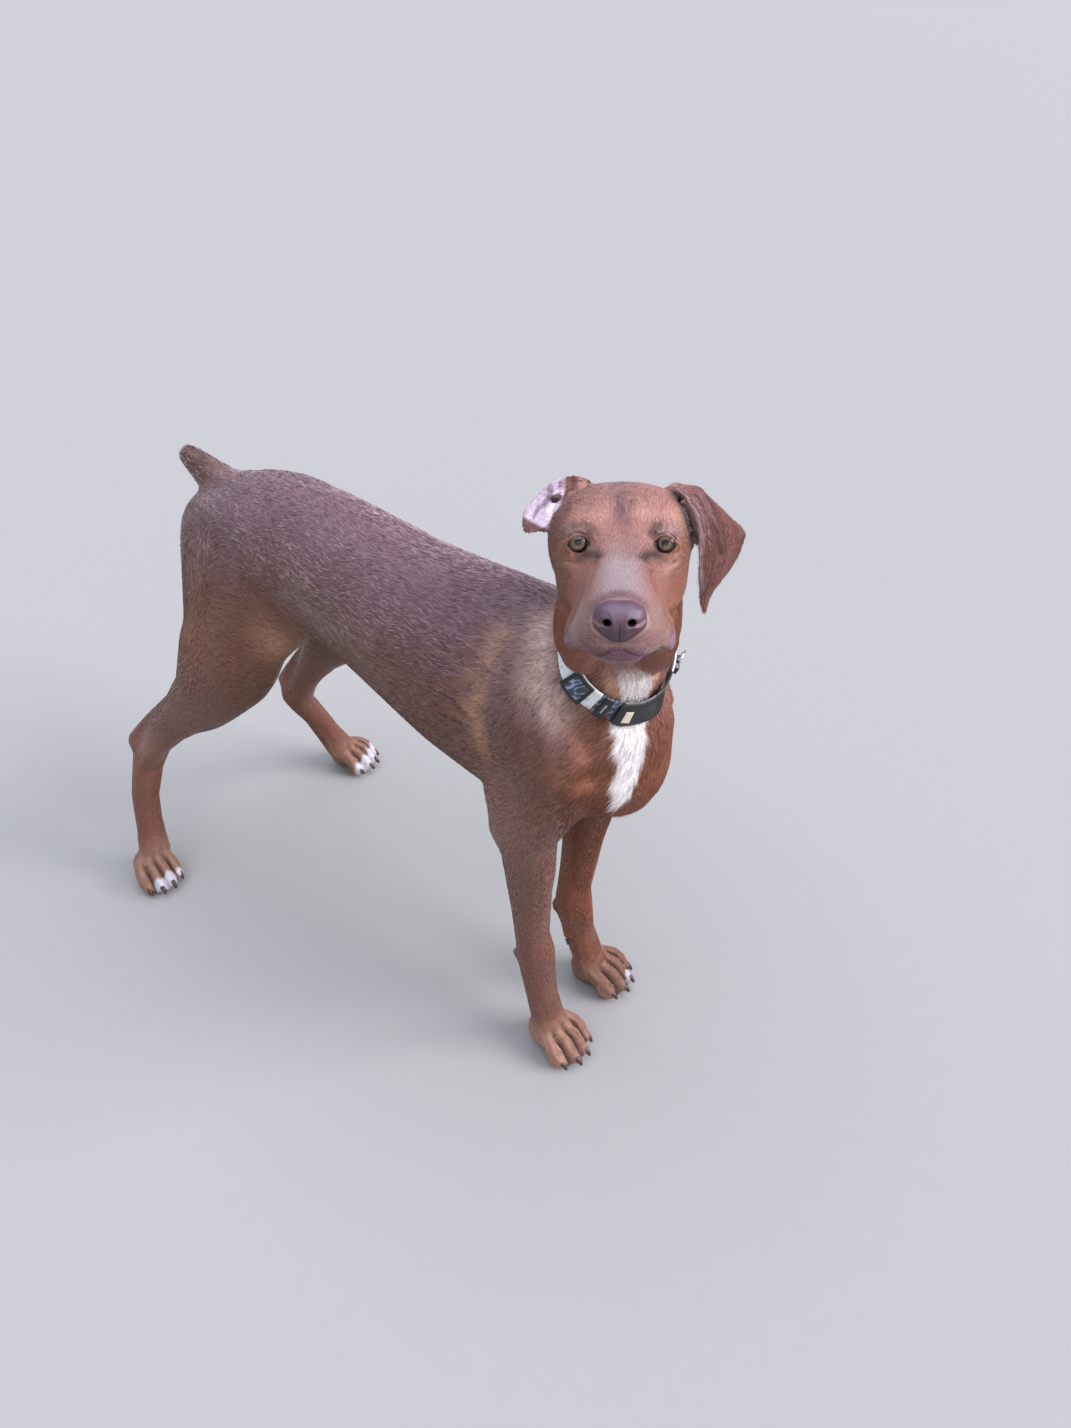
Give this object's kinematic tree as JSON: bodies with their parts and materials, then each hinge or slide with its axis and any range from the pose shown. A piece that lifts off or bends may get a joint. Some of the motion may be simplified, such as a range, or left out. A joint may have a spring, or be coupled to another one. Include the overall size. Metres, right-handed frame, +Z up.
{
  "type": "standing young short-coated dog with docked tail and collar",
  "caption": "Life-size still model of a lean, short-coated red-brown young dog standing with its head turned to its right and one ear flipped, wearing a buckled webbing collar.",
  "frame": {"origin": "centre of the bounding box at the level of the floor under the paws", "axes": "+Z up, -Y the way the trunk faces, +X the dog's left"},
  "size_m": [0.4132, 0.8126, 0.7466],
  "materials": {
    "red_brown_coat": null,
    "nose_leather": "bare moist pebbled liver-brown leather",
    "iris": null,
    "claw_horn": null,
    "woven_nylon": "flat woven webbing with a plain black and white pattern",
    "black_acetal": "moulded black plastic, slightly glossy",
    "nickel_steel": "nickel-plated wire ring"
  },
  "bodies": {
    "root": {"collar_buckle_prongs": "black_acetal", "collar_buckle_socket": "black_acetal", "collar_d_ring": "nickel_steel", "collar_keeper": "black_acetal", "collar_ring_loop": "woven_nylon", "collar_slider": "black_acetal", "collar_strap": "woven_nylon", "ear_left": "red_brown_coat", "ear_right": "red_brown_coat", "eye_left": "iris", "eye_right": "iris", "front_left_claw_1": "claw_horn", "front_left_claw_2": "claw_horn", "front_left_claw_3": "claw_horn", "front_left_claw_4": "claw_horn", "front_left_claw_dew": "claw_horn", "front_left_forearm": "red_brown_coat", "front_left_pastern": "red_brown_coat", "front_left_paw": "red_brown_coat", "front_left_shoulder": "red_brown_coat", "front_right_claw_1": "claw_horn", "front_right_claw_2": "claw_horn", "front_right_claw_3": "claw_horn", "front_right_claw_4": "claw_horn", "front_right_claw_dew": "claw_horn", "front_right_forearm": "red_brown_coat", "front_right_pastern": "red_brown_coat", "front_right_paw": "red_brown_coat", "front_right_shoulder": "red_brown_coat", "head": "red_brown_coat", "hind_left_claw_1": "claw_horn", "hind_left_claw_2": "claw_horn", "hind_left_claw_3": "claw_horn", "hind_left_claw_4": "claw_horn", "hind_left_paw": "red_brown_coat", "hind_left_rear_pastern": "red_brown_coat", "hind_left_shank": "red_brown_coat", "hind_left_thigh": "red_brown_coat", "hind_right_claw_1": "claw_horn", "hind_right_claw_2": "claw_horn", "hind_right_claw_3": "claw_horn", "hind_right_claw_4": "claw_horn", "hind_right_paw": "red_brown_coat", "hind_right_rear_pastern": "red_brown_coat", "hind_right_shank": "red_brown_coat", "hind_right_thigh": "red_brown_coat", "neck": "red_brown_coat", "nose": "nose_leather", "tail": "red_brown_coat", "trunk": "red_brown_coat"}
  },
  "joints": []
}
